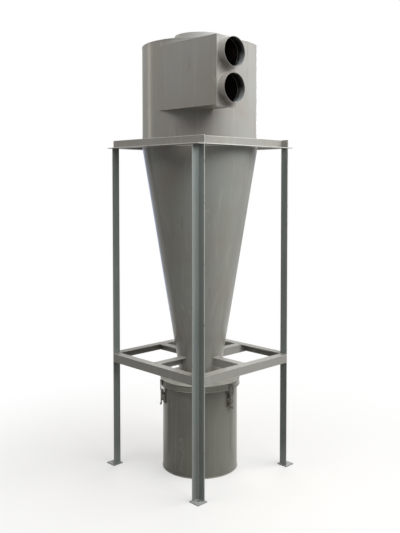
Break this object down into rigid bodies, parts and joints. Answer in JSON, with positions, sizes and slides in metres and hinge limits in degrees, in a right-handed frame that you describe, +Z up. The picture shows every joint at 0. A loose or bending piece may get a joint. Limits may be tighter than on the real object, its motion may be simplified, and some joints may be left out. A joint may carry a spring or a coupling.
{
  "type": "cyclone separator",
  "caption": "Free-standing cyclone dust separator: cylinder and long cone on a square angle iron stand, with stacked inlet pipes, a top outlet and a latched dust drum.",
  "frame": {"origin": "on the floor, on the cyclone's vertical axis, at the centre of the stand's four floor bolts", "axes": "+Z up; +X the way the inlet pipes point; the tangential inlet lies on the -Y side"},
  "size_m": [0.9503, 0.8206, 2.63],
  "materials": {
    "body_enamel": "semi-gloss",
    "inner_sheet": "dull",
    "frame_enamel": "semi-gloss",
    "post_enamel": "semi-gloss",
    "drum_enamel": "semi-gloss",
    "latch_steel": "dull"
  },
  "bodies": {
    "root": {"cylinder_shell": "body_enamel", "roof_plate": "body_enamel", "outlet_collar": "body_enamel", "cone_shell": "body_enamel", "cone_spout": "body_enamel", "inlet_outer_wall": "body_enamel", "inlet_inner_wall": "body_enamel", "inlet_roof": "body_enamel", "inlet_floor": "body_enamel", "inlet_end_plate": "body_enamel", "inlet_pipe_upper": "body_enamel", "inlet_pipe_lower": "body_enamel", "vortex_finder": "inner_sheet", "top_beam_front": "frame_enamel", "top_beam_right": "frame_enamel", "top_beam_back": "frame_enamel", "top_beam_left": "frame_enamel", "lower_beam_front": "frame_enamel", "lower_beam_right": "frame_enamel", "lower_beam_back": "frame_enamel", "lower_beam_left": "frame_enamel", "cross_bar_front": "frame_enamel", "cross_bar_right": "frame_enamel", "cross_bar_back": "frame_enamel", "cross_bar_left": "frame_enamel", "post_front_right": "post_enamel", "post_back_right": "post_enamel", "post_back_left": "post_enamel", "post_front_left": "post_enamel", "foot_front_right": "post_enamel", "foot_back_right": "post_enamel", "foot_back_left": "post_enamel", "foot_front_left": "post_enamel", "drum_wall": "drum_enamel", "drum_floor": "drum_enamel", "drum_rim": "drum_enamel", "drum_lid": "drum_enamel", "latch_right": "latch_steel", "latch_back": "latch_steel", "latch_left": "latch_steel", "latch_catch_right": "latch_steel", "latch_catch_back": "latch_steel", "latch_catch_left": "latch_steel"}
  },
  "joints": []
}
